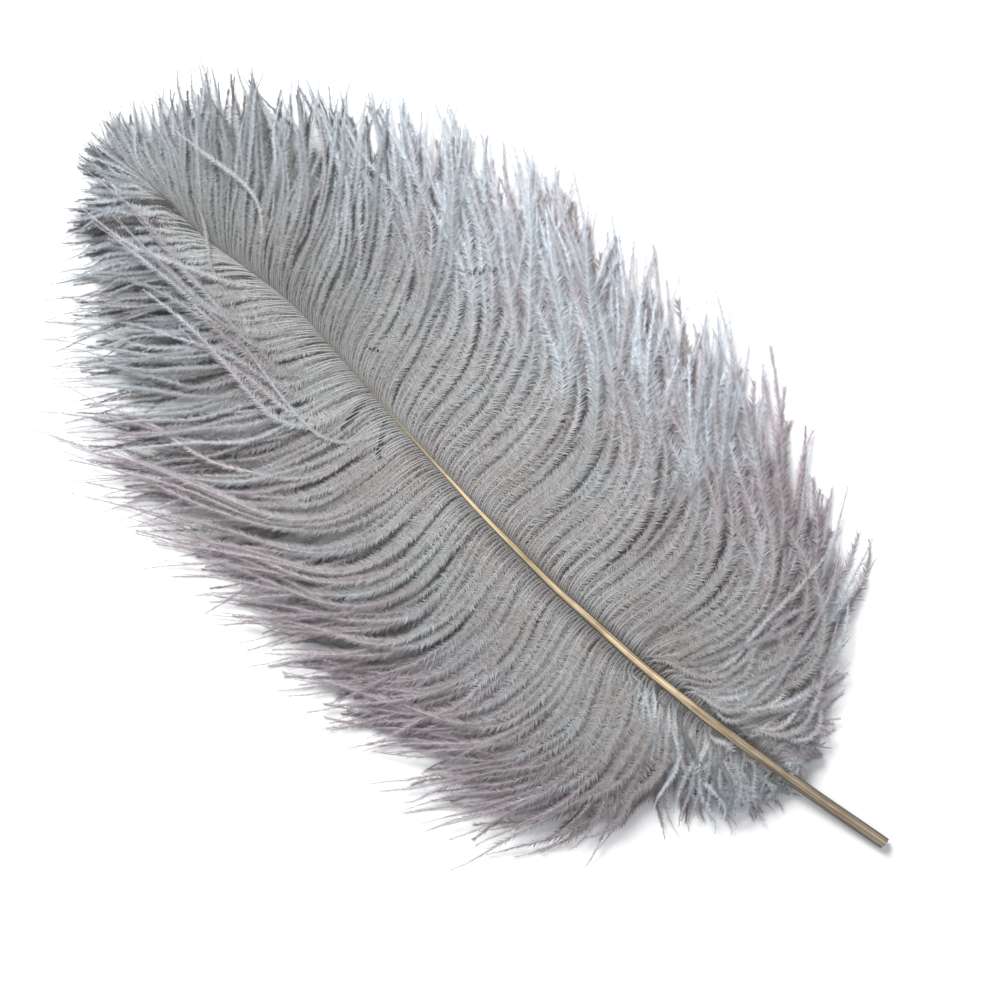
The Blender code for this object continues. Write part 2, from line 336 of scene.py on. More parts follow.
# ---------------------------------------------------------------------------------------------
# The two vanes. An ostrich barb is a fine rib with soft barbules down both sides that don't hook
# together, so the vane falls into loose locks that curl and cross. They are dyed grey, bluer in
# the right vane and towards the tip, and more of a purple-brown in the lower left vane.

# How far each vane reaches from the straight line between the shaft's ends: along, reach
LEFT_REACH = (
    (0.040, 0.000), (0.044, 0.016), (0.052, 0.032), (0.066, 0.050), (0.080, 0.059),
    (0.096, 0.086), (0.126, 0.106), (0.150, 0.110), (0.180, 0.105), (0.230, 0.102),
    (0.260, 0.103), (0.300, 0.103), (0.320, 0.101), (0.340, 0.096), (0.352, 0.090),
    (0.362, 0.083), (0.375, 0.073), (0.385, 0.057), (0.400, 0.036), (0.412, 0.018), (0.421, 0.003),
)
RIGHT_REACH = (
    (0.042, 0.000), (0.046, 0.014), (0.060, 0.036), (0.070, 0.053), (0.080, 0.069),
    (0.092, 0.080), (0.105, 0.086), (0.125, 0.090), (0.150, 0.102), (0.190, 0.107),
    (0.240, 0.106), (0.275, 0.107), (0.293, 0.102), (0.310, 0.099), (0.330, 0.092),
    (0.350, 0.082), (0.370, 0.072), (0.385, 0.062), (0.400, 0.053), (0.412, 0.037), (0.421, 0.004),
)
# How the barbs lie: along, angle from the tipward direction near the shaft, and the angle that
# they turn to further out, in degrees
LEFT_FLOW = (
    (0.054, 150, 130), (0.066, 140, 105), (0.080, 132, 82), (0.100, 118, 55), (0.140, 112, 34),
    (0.200, 102, 32), (0.230, 86, 34), (0.260, 76, 36), (0.285, 66, 38), (0.310, 54, 37),
    (0.345, 46, 36), (0.368, 42, 38), (0.382, 38, 34),
)
RIGHT_FLOW = (
    (0.054, 140, 95), (0.066, 138, 75), (0.080, 132, 62), (0.100, 126, 50), (0.130, 112, 44),
    (0.160, 104, 44), (0.200, 104, 42), (0.225, 98, 42), (0.250, 86, 46), (0.280, 78, 43),
    (0.310, 72, 36), (0.335, 58, 28), (0.360, 40, 22), (0.382, 10, 4),
)
# In what follows the left side is 1 and the right side is -1.
FIRST_BARBS = 0.052
FIRST_LOWER_BARBS = 0.080
LAST_BARBS = 0.382
# Stretches along the shaft over which something sets in, from and to
CALM = (0.080, 0.150)             # the barbs stop running wild
LEFT_GAPS = (0.16, 0.28)          # the left vane's locks part more deeply
FAR = {1: (0.25, 0.33), -1: (0.22, 0.33)}   # the vanes get darker, bluer and thinner
UPPER_HALF = (0.20, 0.30)         # the tone and tint of their edges change
TIP_END = (0.325, 0.355)          # the locks differ more in tone
UPPER_SPACING = 1.1 * MM
LOWER_SPACING = 1.6 * MM
IN_UPPER_LOCK = (1, 4)            # fewest barbs in a lock, and one more than the most
IN_LOWER_LOCK = (1, 2)
HOLD = {1: (0, 0.65), -1: (0, 0.4)}   # how firmly a lock draws its barbs together, from and to
LOWER_HOLD = (0, 0.1)
FAR_HOLD = {1: 0, -1: 0.3}        # and how much more so far up
FIRMEST_HOLD = 0.85
GATHER_FROM = 0.42                # share of the barb from which its lock draws it in
BARB_LENGTHS = (0.70, 1.04)       # shares of the vane's reach, from and to
LEADER_LENGTHS = {1: (0.95, 1.11), -1: (0.95, 1.05)}    # of the middle barb in each lock
LOWER_LENGTHS = (0.80, 0.95)
# Degrees by which barbs stray from the flow: a whole lock, and each barb by itself
SWAY = (1.5, 1.5)
WILD_SWAY = (6, 12)
LEAVING_SCATTER = (0, 3.5)
OUTER_SCATTER = {1: (5, 9), -1: (5, 14)}
TURN_FROM = 10 * MM               # a barb turns between these distances from the shaft
TURN_TO = 92 * MM
ROOT_CURL = 0.5                   # share of its angle that a barb has still to turn as it leaves
CURL_LENGTH = {1: 5 * MM, -1: 7 * MM}
HOOK = {1: 6 * MM, -1: 4 * MM}    # how far the points curl back outwards
CURL = (2.0 * MM, 4.0 * MM)       # and how far a lock and each barb curl of their own
CURL_LIMITS = (-5.5 * MM, 3.5 * MM)   # inwards and outwards
LOCK_WAVE = (0.8 * MM, 0.8)       # how far it sways, and the number of waves in a barb
BARB_WAVE = (0.8 * MM, 1.5)
WIGGLE = (0.5 * MM, 3.5)
WALK = 1 * MM                     # the step in which a barb's line is followed
SHORTEST_WALK = 5                 # steps
LONGEST_WALK = 190
BARB_STEPS = 24
ROOT_CROWDING = 1.5               # draws a barb's points closer together near the shaft
BARB_SHARES = np.linspace(0, 1, BARB_STEPS + 1) ** ROOT_CROWDING
ROOT_DEPTH = 0.10                 # how far below its middle they leave the shaft, of its width
ARCH_HEIGHT = 3.6 * MM
DROOP = 1.6                       # above 1 a barb stays up at first and comes down late
LANDING = 0.88                    # share of the barb at which it comes down
LOWEST = 0.4 * MM                 # above the surface
UPPER_POINTS = (0.5 * MM, 3.4 * MM)   # heights of the barbs' points, from and to
LOWER_POINTS = (0.5 * MM, 1.0 * MM)
LOWER_DROP = 2.2 * MM             # how far the lower layer lies below the upper one
HEIGHT_SCATTER = (0.3 * MM, 0.8 * MM)   # of a whole lock, and of each barb by itself
HEIGHT_WAVE = (0.7 * MM, 1.3)
LEADER_RISE = 0.6 * MM            # how far the middle barb of a lock lies above the others
RIB_RADIUS = (0.33 * MM, 0.04 * MM)   # at the shaft and at the point, drawn coarse enough to show
BARBULE_PITCH = 0.26 * MM         # the real ones stand ten times closer
LOWER_PITCH = 0.38 * MM
FEWEST_BARBULES = 8
BARBULES_IN_TUFT = 2
BARBULE_LENGTH = (1.2 * MM, 2.9 * MM, 3.8 * MM)   # near the shaft, mid vane and further out
TUFT_LENGTHS = (0.7, 1.15)        # shares of that, for each tuft
LENGTHS_IN_TUFT = (0.85, 1.1)     # and for each barbule
TAPER_FROM = 0.68                 # share of the barb from which its barbules get shorter
TAPER = (0.3, 0.75)               # by how much
SLIM_TAPER = (0.5, 0.88)          # and by how much in the left vane and near the tip
SLIM_FROM = 0.29
BARBULE_ANGLE = 62                # degrees from the barb near the shaft
OUTER_BARBULE_ANGLE = {1: 34, -1: 48}
ANGLE_SCATTER = 8
# Degrees that a barbule lifts out of the vane: near the shaft, then how much more on its tipward
# side and in mid vane, how much less at the edge, and how much each light stroke adds
LIFT = -6
TIPWARD_LIFT = 5
MID_LIFT = 5
EDGE_DROP = 10
STROKE_LIFT = 4
LIFT_SCATTER = 5
LOWEST_TIP = 0.2 * MM
# The tufts catch the light in fine strokes, by turns and at random: the strokes lift a little, and
# their light and shade is also painted into the barbules' tone
STROKE_TURNS = 0.55
STROKE_SCATTER = 0.9
STROKE_TONE = 0.27
BARBULE_TONE = 1.05
BARBULE_TONE_SCATTER = 0.27
# painted shade: how much darker the barbules' feet are, down between the tufts, than their tips
FOOT_PAINTED_SHADE = 0.12
FOOT_TONE_SCATTER = 0.2
SHADE_REACH = {1: 9 * MM, -1: 4.5 * MM}   # how far the shaft shades the barbs
SHADE_DEPTH = 0.62                # how deeply, where the shaft is as wide as this
SHADE_WIDTH = 4.5 * MM
PIECES_PER_SIDE = 3
# Cracks where the barbules have parted: along and across of both ends, and how wide
SPLITS = (
    (0.2696, 0.0030, 0.2669, 0.0220, 0.9 * MM), (0.2570, 0.0089, 0.2498, 0.0204, 0.9 * MM),
    (0.2732, -0.0558, 0.2628, -0.0678, 0.35 * MM), (0.2815, -0.0085, 0.2775, -0.0105, 0.4 * MM),
    (0.0975, 0.0060, 0.0920, 0.0035, 1.8 * MM),
)
RAGGED = (0.4, 1.2)               # shares of the width, from tuft to tuft
SPLIT_STUB = 0.1                  # what is left there of a barbule's length, and of its tone
# painted shade: the stubs left in a crack are painted dark
SPLIT_PAINTED_SHADE = 0.35
# Where the upper barbs have fallen apart down to the lower ones: side, along from and to
PARTINGS = ((1, 0.3740, 0.3780), (1, 0.330, 0.3312), (-1, 0.0985, 0.1030))
chance = np.random.default_rng(11)


def ease(value, low, high):
    """0 below low, 1 above high, and smooth between."""
    t = np.clip((value - low) / (high - low), 0, 1)
    return t * t * (3 - 2 * t)


def scatter(size, count):
    """Random offsets without far outliers."""
    return size * np.clip(chance.normal(0, 1, count), -2, 2)


def follow_barbs(roots, side, inner, outer, share, turn_to=TURN_TO, longest=1.0):
    """The barbs' lines seen from above, each as evenly spaced points, and their lengths."""
    reach = LEFT_REACH if side > 0 else RIGHT_REACH
    x, y = roots.copy(), read_table(SHAFT, roots, 1)
    track = [np.stack([x, y], 1)]
    inside = []
    for step in range(LONGEST_WALK):
        gone = step * WALK
        angle = np.radians(inner + (outer - inner) * ease(gone, TURN_FROM, turn_to)
                           - ROOT_CURL * inner * math.exp(-gone / CURL_LENGTH[side]))
        x = x + WALK * np.cos(angle)
        y = y + side * WALK * np.sin(angle)
        track.append(np.stack([x, y], 1))
        inside.append((side * y < read_table(reach, x, 1)) & (reach[0][0] < x)
                      & (x < reach[-1][0]) & (gone < longest) & (step < LONGEST_WALK - 1))
    track = np.array(track)
    walked = np.maximum(np.argmin(np.array(inside), axis=0), SHORTEST_WALK) * share
    at = np.clip(walked[:, None] * BARB_SHARES, 0, LONGEST_WALK - 1)
    low = at.astype(int)
    part = (at - low)[..., None]
    each = np.arange(len(roots))[:, None]
    return track[low, each] * (1 - part) + track[low + 1, each] * part, walked * WALK


def sideways_of(lines):
    """For each point of the lines, the direction to the left of the barb, seen from above."""
    heading = np.gradient(lines[..., :2], axis=1)
    heading /= np.linalg.norm(heading, axis=2, keepdims=True)
    return np.stack([-heading[..., 1], heading[..., 0]], 2)


def ripple(size, waves, phase):
    """How far each barb sways along its length, with a number of waves in a barb."""
    return size[:, None] * np.sin(math.tau * (waves * BARB_SHARES[None] + phase[:, None]))


def gather_locks(lines, lengths, lock, leader, hold):
    """Draws the outer part of each barb towards the middle barb of its lock."""
    t = BARB_SHARES
    drawn = lines.copy()
    pull = ease(t, GATHER_FROM, 1.0)
    for k, chief in enumerate(leader):
        for i in np.flatnonzero(lock == k):
            if i == chief:
                continue
            along_chief = np.clip(t * lengths[i] / lengths[chief], 0, 1)
            target = np.stack([np.interp(along_chief, t, lines[chief, :, c]) for c in (0, 1)], 1)
            drawn[i] += (target - lines[i]) * (pull * hold[i])[:, None]
    return drawn


def barb_heights(roots, share, lengths, points, offsets):
    """Heights along each barb: up from the shaft, over a low arch and down to the surface."""
    t = BARB_SHARES[None] * np.minimum(share, 1)[:, None]
    base = (read_table(SHAFT, roots, 2) - ROOT_DEPTH * read_table(SHAFT, roots, 3))[:, None]
    held_up = np.clip(1 - (t / LANDING) ** DROOP, 0, 1)
    height = points[:, None] + (base - points[:, None]) * held_up
    height = height + ARCH_HEIGHT * np.sin(math.pi * t ** 0.7) * (1 - t)
    gone = BARB_SHARES[None] * lengths[:, None]
    strewn = 0.6 * ease(gone, 2 * MM, 12 * MM) + 0.4 * ease(gone, 25 * MM, 65 * MM)
    return np.maximum(height + offsets * strewn, LOWEST)


def read_lines(lines, owner, t):
    """Points, or values, at shares t of the lines of the barbs named by owner."""
    at = np.clip(t, 0, 1) ** (1 / ROOT_CROWDING) * (lines.shape[1] - 1)
    low = np.minimum(at.astype(int), lines.shape[1] - 2)
    part = at - low
    if lines.ndim > 2:
        part = part[:, None]
    return lines[owner, low] * (1 - part) + lines[owner, low + 1] * part


def root_shade(gone, root, side):
    """The barbs are in shade where they leave the shaft, most where it is thick."""
    width = read_table(SHAFT, root, 3)
    reach = np.where(side > 0, SHADE_REACH[1], SHADE_REACH[-1])
    depth = SHADE_DEPTH * (width / SHADE_WIDTH) ** 0.7
    return 1 - depth * (1 - ease(gone - width / 2, 0, reach))


def rib_tubes(lines, across, upward):
    """Three-sided tubes that close in a point: corners, faces, their map, and shares along."""
    count, rib_t = len(lines), BARB_SHARES
    lane = np.arange(count)                # each barb has its own lane of the map, for baking
    thick, thin = RIB_RADIUS
    radius = (thin + (thick - thin) * (1 - rib_t) ** 3)[None, :-1, None]
    rings = [lines[:, :-1] + radius * (math.cos(a) * across[:, :-1] + math.sin(a) * upward[:, :-1])
             for a in (math.pi / 2, math.pi * 7 / 6, math.pi * 11 / 6)]
    rib_points = np.concatenate([np.stack(rings, 2).reshape(count, -1, 3), lines[:, -1:]], 1)
    per_rib = rib_points.shape[1]
    faces, rib_u, rib_v = [(0, 2, 1)], [(0.45, 0.50, 0.55)], [(0.0, 0.0, 0.0)]
    for s in range(BARB_STEPS - 1):
        for k in range(3):
            a, b = 3 * s + k, 3 * s + (k + 1) % 3
            left_u, right_u = 0.44 + 0.04 * k, 0.48 + 0.04 * k
            faces += [(a, b, b + 3), (a, b + 3, a + 3)]
            rib_u += [(left_u, right_u, right_u), (left_u, right_u, left_u)]
            rib_v += [(rib_t[s], rib_t[s], rib_t[s + 1]), (rib_t[s], rib_t[s + 1], rib_t[s + 1])]
    last = 3 * (BARB_STEPS - 1)
    for k in range(3):
        faces.append((last + k, last + (k + 1) % 3, per_rib - 1))
        rib_u.append((0.44 + 0.04 * k, 0.48 + 0.04 * k, 0.46 + 0.04 * k))
        rib_v.append((rib_t[-2], rib_t[-2], 1.0))
    rib_faces = (np.array(faces)[None] + per_rib * lane[:, None, None]).reshape(-1, 3)
    rib_map = np.stack(np.broadcast_arrays(
        (lane[:, None, None] + np.array(rib_u)[None]) / count, np.array(rib_v)[None]), 3)
    return rib_points, rib_faces, rib_map, np.concatenate([np.repeat(rib_t[:-1], 3), [1.0]])


def barbs_object(name, lines, lengths, tone, tint, full, rib_highlight, sides, pitch=BARBULE_PITCH,
                 splits=SPLITS, stub=SPLIT_STUB, hatch=1.0):
    """One mesh of many barbs. Each is a rib with a comb of barbules down both its sides."""
    count = len(lines)
    lane = np.arange(count)
    across = sideways_of(lines)
    across = np.concatenate([across, np.zeros_like(across[..., :1])], 2)
    heading = np.gradient(lines, axis=1)
    heading /= np.linalg.norm(heading, axis=2, keepdims=True)
    upward = np.cross(heading, across)
    rib_points, rib_faces, rib_map, rib_along = rib_tubes(lines, across, upward)
    per_rib = rib_points.shape[1]

    # combs: base points along the rib, shared by neighbours, and a tip for each barbule
    number = np.maximum((lengths / pitch).astype(int), FEWEST_BARBULES)
    owner = np.repeat(lane, number + 1)
    first = np.concatenate([[0], np.cumsum(number + 1)[:-1]])
    order = np.arange(len(owner)) - first[owner]
    base_t = order / number[owner]
    base = read_lines(lines, owner, base_t)
    base_of = np.flatnonzero(order < number[owner])
    whose, place = owner[base_of], order[base_of]
    middle_t = (place + 0.5) / number[whose]
    shift = chance.integers(0, BARBULES_IN_TUFT, count)
    slim = (sides > 0) | (lines[:, 0, 0] > SLIM_FROM)
    taper = chance.uniform(*(np.where(slim, *pair) for pair in zip(SLIM_TAPER, TAPER)))
    base_gone = base_t * lengths[owner]
    # painted shade darkens the barbules' feet down between the tufts, over a random scatter
    feet_scatter_and_shade = scatter(FOOT_TONE_SCATTER, len(owner)) - FOOT_PAINTED_SHADE
    foot_tone = (1 + ease(base_gone, 4 * MM, 14 * MM) * feet_scatter_and_shade) * root_shade(
        base_gone, lines[owner, 0, 0], sides[owner])

    tips, tip_faces, tip_tone, tip_t, comb_maps = [], [], [], [], []
    start = len(rib_points.reshape(-1, 3)) + len(base)
    for hand in (1, -1):
        tuft = (place + shift[whose]) // BARBULES_IN_TUFT
        tufts = (number + 2 * BARBULES_IN_TUFT) // BARBULES_IN_TUFT
        first_tuft = np.concatenate([[0], np.cumsum(tufts)[:-1]])
        tuft_id = first_tuft[whose] + tuft
        total = int(tufts.sum())
        centre_t = np.clip(((tuft + 0.5) * BARBULES_IN_TUFT - shift[whose]) / number[whose], 0, 1)
        gone = centre_t * lengths[whose]
        stroke = (STROKE_TURNS * np.where(tuft % 2 == 0, 1, -1)
                  + scatter(STROKE_SCATTER, total)[tuft_id])
        stroke = stroke * hatch * (1 - 0.4 * ease(gone, 45 * MM, 85 * MM))
        outer_angle = np.where(sides > 0, OUTER_BARBULE_ANGLE[1], OUTER_BARBULE_ANGLE[-1])[whose]
        spread = BARBULE_ANGLE + (outer_angle - BARBULE_ANGLE) * ease(gone, 25 * MM, 75 * MM)
        angle = np.radians(spread * (1 - 0.4 * ease(centre_t, 0.7, 1.0))
                           + chance.normal(0, ANGLE_SCATTER, total)[tuft_id])
        tipward = hand == -sides[whose]
        lift = np.radians(LIFT + TIPWARD_LIFT * tipward + MID_LIFT * ease(gone, 6 * MM, 22 * MM)
                          - EDGE_DROP * ease(gone, 45 * MM, 80 * MM) + STROKE_LIFT * stroke
                          + chance.normal(0, LIFT_SCATTER, total)[tuft_id])
        root_long, mid_long, outer_long = BARBULE_LENGTH
        long = (root_long + (mid_long - root_long) * ease(gone, 2 * MM, 16 * MM)
                + (outer_long - mid_long) * ease(gone, 30 * MM, 70 * MM))
        long = long * (1 - taper[whose] * ease(centre_t, TAPER_FROM, 1.0)) * full[whose]
        long = long * chance.uniform(*TUFT_LENGTHS, total)[tuft_id]
        long = long * chance.uniform(*LENGTHS_IN_TUFT, len(whose))
        foot = 0.25 * read_lines(lines, whose, middle_t) + 0.75 * read_lines(lines, whose, centre_t)
        ahead = read_lines(heading, whose, centre_t)
        left = read_lines(across, whose, centre_t)
        over = read_lines(upward, whose, centre_t)
        way = (np.cos(angle)[:, None] * ahead + hand * np.sin(angle)[:, None] * left)
        way = np.cos(lift)[:, None] * way + np.sin(lift)[:, None] * over
        parted = np.zeros(len(foot), bool)
        for x1, y1, x2, y2, wide in splits:
            crack = np.array((x2 - x1, y2 - y1))
            for part in (0, 0.5, 1):
                off = (foot + way * (part * long)[:, None])[:, :2] - (x1, y1)
                t = np.clip(off @ crack / (crack @ crack), 0, 1)
                away = np.linalg.norm(off - t[:, None] * crack, axis=1)
                parted |= away < wide * chance.uniform(*RAGGED, total)[tuft_id]
        long = np.where(parted, stub * long, long)
        tip = foot + way * long[:, None]
        tip[:, 2] = np.maximum(tip[:, 2], LOWEST_TIP)
        tips.append(tip)
        near, far = start - len(base) + base_of, start - len(base) + base_of + 1
        mine = start + (0 if hand > 0 else len(base_of)) + np.arange(len(base_of))
        # its foot is near the middle of the barb's lane of the map, and its tip at the lane's edge
        foot_in_lane, tip_in_lane = (0.43, 0.02) if hand > 0 else (0.57, 0.98)
        u, tip_u = (whose + foot_in_lane) / count, (whose + tip_in_lane) / count
        near_t, far_t = base_t[base_of], base_t[base_of + 1]
        corners_of = [(near, u, near_t), (far, u, far_t), (mine, tip_u, middle_t)]
        if hand < 0:
            corners_of = [corners_of[1], corners_of[0], corners_of[2]]
        tip_faces.append(np.stack([c[0] for c in corners_of], 1))
        comb_maps.append(np.stack([np.stack(c[1:], 1) for c in corners_of], 1))
        # painted light and shade: light strokes are painted lighter and dark ones darker
        lit = BARBULE_TONE + STROKE_TONE * stroke + scatter(BARBULE_TONE_SCATTER, len(whose))
        # painted shade: barbules cut short in a crack are painted dark
        tip_tone.append(lit * np.where(parted, SPLIT_PAINTED_SHADE, 1)
                        * root_shade(gone, lines[whose, 0, 0], sides[whose]))
        tip_t.append(centre_t)

    points = np.concatenate([rib_points.reshape(-1, 3), base, *tips])
    triangles = np.concatenate([rib_faces, *tip_faces])
    mesh = bpy.data.meshes.new(name)
    mesh.from_pydata(points + np.array(CUT_END), [], triangles)

    # what the material reads on each point: tone, share along the barb, tint and the rib's painted
    # highlight
    rib_gone = rib_along[None] * lengths[:, None]
    rib_highlight_marks = (rib_highlight[:, None] * (0.15 + 0.4 * ease(rib_gone, 35 * MM, 70 * MM))).ravel()
    rib_owner = np.repeat(lane, per_rib)
    rib_shade = root_shade(rib_gone.ravel(), lines[rib_owner, 0, 0], sides[rib_owner])
    rib_at = np.tile(rib_along, count)
    marks = np.concatenate([
        np.stack([read_lines(tone, rib_owner, rib_at) * rib_shade, rib_at,
                  read_lines(tint, rib_owner, rib_at), rib_highlight_marks], 1),
        np.stack([read_lines(tone, owner, base_t) * foot_tone, base_t,
                  read_lines(tint, owner, base_t), 0.3 * rib_highlight[owner]], 1),
        *(np.stack([read_lines(tone, whose, c) * t, c,
                    read_lines(tint, whose, c), np.zeros(len(whose))], 1)
          for t, c in zip(tip_tone, tip_t)),
    ])
    layer = mesh.color_attributes.new("barb", "FLOAT_COLOR", "POINT")
    layer.data.foreach_set("color", marks.astype(np.float32).ravel())
    lanes = mesh.uv_layers.new(name="OFBake")
    places = [rib_map.reshape(-1, 2), *(comb.reshape(-1, 2) for comb in comb_maps)]
    lanes.data.foreach_set("uv", np.concatenate(places).astype(np.float32).ravel())
    made = bpy.data.objects.new(name, mesh)
    bpy.context.scene.collection.objects.link(made)
    made.data.materials.append(dyed)
    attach(made, "root")
    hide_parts("feather")


# Dyed keratin barbs: matt, with a faint silky sheen where the barbules lie together. The dye took
# unevenly, in patches. The ribs carry a painted highlight, a pale grey mixed in along them.
DYE_PATCH = 22 * MM
SHAFTWARD_GREY = "93918e"
OUTER_GREY = "8e9095"
PURPLE_DYE = "7e6b70"
BLUE_DYE = "a2adb5"
RIB_HIGHLIGHT_GREY = "bdbebc"
dyed, tree, shader = new_material("grey dyed barbs", Roughness=0.72, Sheen_Weight=0.25,
                                  Sheen_Roughness=0.5)
marks = add_node(tree, "VertexColor", {"layer_name": "barb"}, {})
split = add_node(tree, "SeparateColor", {}, {"Color": marks.outputs["Color"]})
tone_out, along_out, tint_out = (split.outputs[k] for k in range(3))
place = add_node(tree, "TexCoord", {}, {})
uneven = add_node(tree, "TexNoise", {}, {
    "Vector": place.outputs["Object"], "Scale": 1 / DYE_PATCH, "Detail": 2.0, "Roughness": 0.5})
root_to_tip = add_node(tree, "MapRange", {"interpolation_type": "SMOOTHSTEP"}, {
    "Value": along_out, "From Min": 0.1, "From Max": 0.85})
grey = mix_colours(tree, root_to_tip.outputs["Result"], SHAFTWARD_GREY, OUTER_GREY)
dye = add_node(tree, "Math", {"operation": "ADD", "use_clamp": True}, {
    0: uneven.outputs["Fac"], 1: tint_out})
dye_range = add_node(tree, "MapRange", {"interpolation_type": "SMOOTHSTEP"}, {
    "Value": dye.outputs["Value"], "From Min": 0.20, "From Max": 0.85})
pale = mix_colours(tree, dye_range.outputs["Result"], PURPLE_DYE, BLUE_DYE)
how_dyed = add_node(tree, "MapRange", {}, {
    "Value": root_to_tip.outputs["Result"], "To Min": 0.25, "To Max": 0.6})
grey = mix_colours(tree, how_dyed.outputs["Result"], grey, pale)
grey = mix_colours(tree, 1.0, grey, tone_out, "MULTIPLY")
# painted highlight: the ribs are mixed towards a pale grey, most on the middle barb of each lock
rib_highlight_much = add_node(tree, "Math", {"operation": "MULTIPLY"}, {0: marks.outputs["Alpha"], 1: 0.7})
grey = mix_colours(tree, rib_highlight_much.outputs["Value"], grey, RIB_HIGHLIGHT_GREY)
tree.links.new(grey, shader.inputs["Base Color"])

# Tones are shares of the material's grey. Tints below 0 are more purple and above 0 more blue.
TONE = 1.26
TONE_SCATTER = (0.05, 0.09)       # of a whole lock, and of each barb by itself
TINT_SCATTER = (0.07, 0.10)
OUTER_TONE = {1: (0.16, -0.22), -1: (0.14, -0.10)}    # added at the edge, and its change upwards
OUTER_TINT = {1: (-0.48, 0.48), -1: (0.10, 0.15)}
# painted shade on the lower layer, seen between the upper locks
LOWER_PAINTED_SHADE = {1: (0.66, 0.29), -1: (0.78, 0.52)}      # of the lower layer, low and high up
LOWER_ROOT_PAINTED_SHADE = 0.82            # and near the shaft


def grow_barbs(side, spacing, in_lock, hold, lower=False, partings=(), first=FIRST_BARBS):
    """One layer of barbs down one side of the shaft, in locks that sway, curl and cross."""
    flow = LEFT_FLOW if side > 0 else RIGHT_FLOW
    count = round((LAST_BARBS - first) / spacing)
    roots = first + (LAST_BARBS - first) * (
        np.arange(count) + chance.uniform(0.15, 0.85, count)) / count
    for parted, start, end in partings:
        if parted == side:
            roots = roots[(roots < start) | (roots > end)]
    count = len(roots)
    lock = np.searchsorted(np.cumsum(chance.integers(*in_lock, count)), np.arange(count), "right")
    locks = lock.max() + 1
    leader = np.array([int(np.median(np.flatnonzero(lock == k))) for k in range(locks)])

    def vary(shared, alone):
        """Offsets that a lock's barbs share, and offsets of each barb's own."""
        return scatter(shared, locks)[lock] + scatter(alone, count)

    # where the barbs run, seen from above
    far = ease(roots, *FAR[side])
    hold = np.clip(chance.uniform(*hold, count) + FAR_HOLD[side] * far, 0, FIRMEST_HOLD)
    share = chance.uniform(*BARB_LENGTHS, count)
    share[leader] = chance.uniform(*LEADER_LENGTHS[side], locks)
    if lower:
        share = chance.uniform(*LOWER_LENGTHS, count)
    wild = 1 - ease(roots, *CALM)
    sway = vary(*SWAY) + vary(*WILD_SWAY) * wild
    inner = read_table(flow, roots, 1) + sway + vary(*LEAVING_SCATTER)
    outer = read_table(flow, roots, 2) + sway + vary(*OUTER_SCATTER[side])
    lines, lengths = follow_barbs(roots, side, inner, outer, share)
    t = BARB_SHARES[None]
    size, waves = LOCK_WAVE
    wave = ripple(vary(size, 0) * (1 + 2 * wild), waves, chance.random(locks)[lock])
    size, waves = BARB_WAVE
    wave = wave + ripple(vary(0, size) * (1 + wild), waves, chance.random(count))
    size, waves = WIGGLE
    wiggle = ripple(vary(0, size), waves, chance.random(count)) * ease(t, 0.03, 0.2)
    curl = side * np.clip(side * vary(*CURL), *CURL_LIMITS) * (1 + wild)
    curl = curl[:, None] * ease(t, 0.5, 1.0)
    curl = curl + side * HOOK[side] * np.clip((t - 0.5) / 0.5, 0, 1) ** 2
    lines = lines + (wave * ease(t, 0.1, 0.6) + wiggle + curl)[..., None] * sideways_of(lines)
    lines = gather_locks(lines, lengths, lock, leader, hold)

    # how high they lie
    size, waves = HEIGHT_WAVE
    offsets = vary(*HEIGHT_SCATTER)[:, None] + ripple(vary(0, size), waves, chance.random(count))
    offsets[leader] += LEADER_RISE
    points = chance.uniform(*(LOWER_POINTS if lower else UPPER_POINTS), count)
    heights = barb_heights(roots, share, lengths, points, offsets)
    gone = t * lengths[:, None]
    if lower:
        heights = np.maximum(heights - LOWER_DROP * ease(gone, 1 * MM, 9 * MM), LOWEST)

    # tone, tint, fullness and shine
    out = ease(gone, 35 * MM, 95 * MM)
    loose = 0.2 + 0.9 * ease(gone, 15 * MM, 60 * MM)
    deep = ease(roots, *LEFT_GAPS) if side > 0 else 0.8 * far
    tip_end = ease(roots, *TIP_END)
    contrast = 1 + 1.5 * deep + tip_end
    upper_half = ease(roots, *UPPER_HALF)[:, None]
    low, change = OUTER_TONE[side]
    tone = (TONE + (vary(*TONE_SCATTER) * contrast)[:, None] * loose) * (
        1 + (low + change * upper_half) * out)
    # painted highlight: the middle barb of each lock, which lies highest, is painted lighter further
    # out
    tone[leader] *= 1 + 0.10 * deep[leader, None] * out[leader]
    if side > 0:
        tone *= (1 - 0.05 * ease(gone, 15 * MM, 35 * MM)) * (1 + 0.10 * ease(t, 0.72, 1.0))
        tone *= 1 - 0.30 * far[:, None] * ease(gone, 12 * MM, 40 * MM)
    else:
        tone *= (0.98 - 0.36 * deep)[:, None] * (
            1 + (0.38 - 0.3 * deep)[:, None] * ease(t, 0.68, 1.0))
        tone *= (1 - 0.07 * (1 - ease(roots, 0.10, 0.14)) - 0.10 * far - 0.12 * tip_end)[:, None]
    low, change = OUTER_TINT[side]
    tint = vary(*TINT_SCATTER)[:, None] * loose + (low + change * upper_half) * out
    tint += (0.2 * far + 0.15 * tip_end - 0.15 * (1 - ease(roots, 0.10, 0.15)))[:, None]
    full = chance.uniform(0.85 - 0.35 * deep, 1.15 - 0.25 * deep) * (1 - 0.22 * far)
    # painted highlight on the ribs, strongest on the middle barb of each lock
    rib_highlight = np.full(count, 0.45)
    rib_highlight[leader] = 1.0
    rib_highlight *= (0.6 + 0.4 * ease(roots, 0.12, 0.22)) * (1.0 if side > 0 else 0.75)
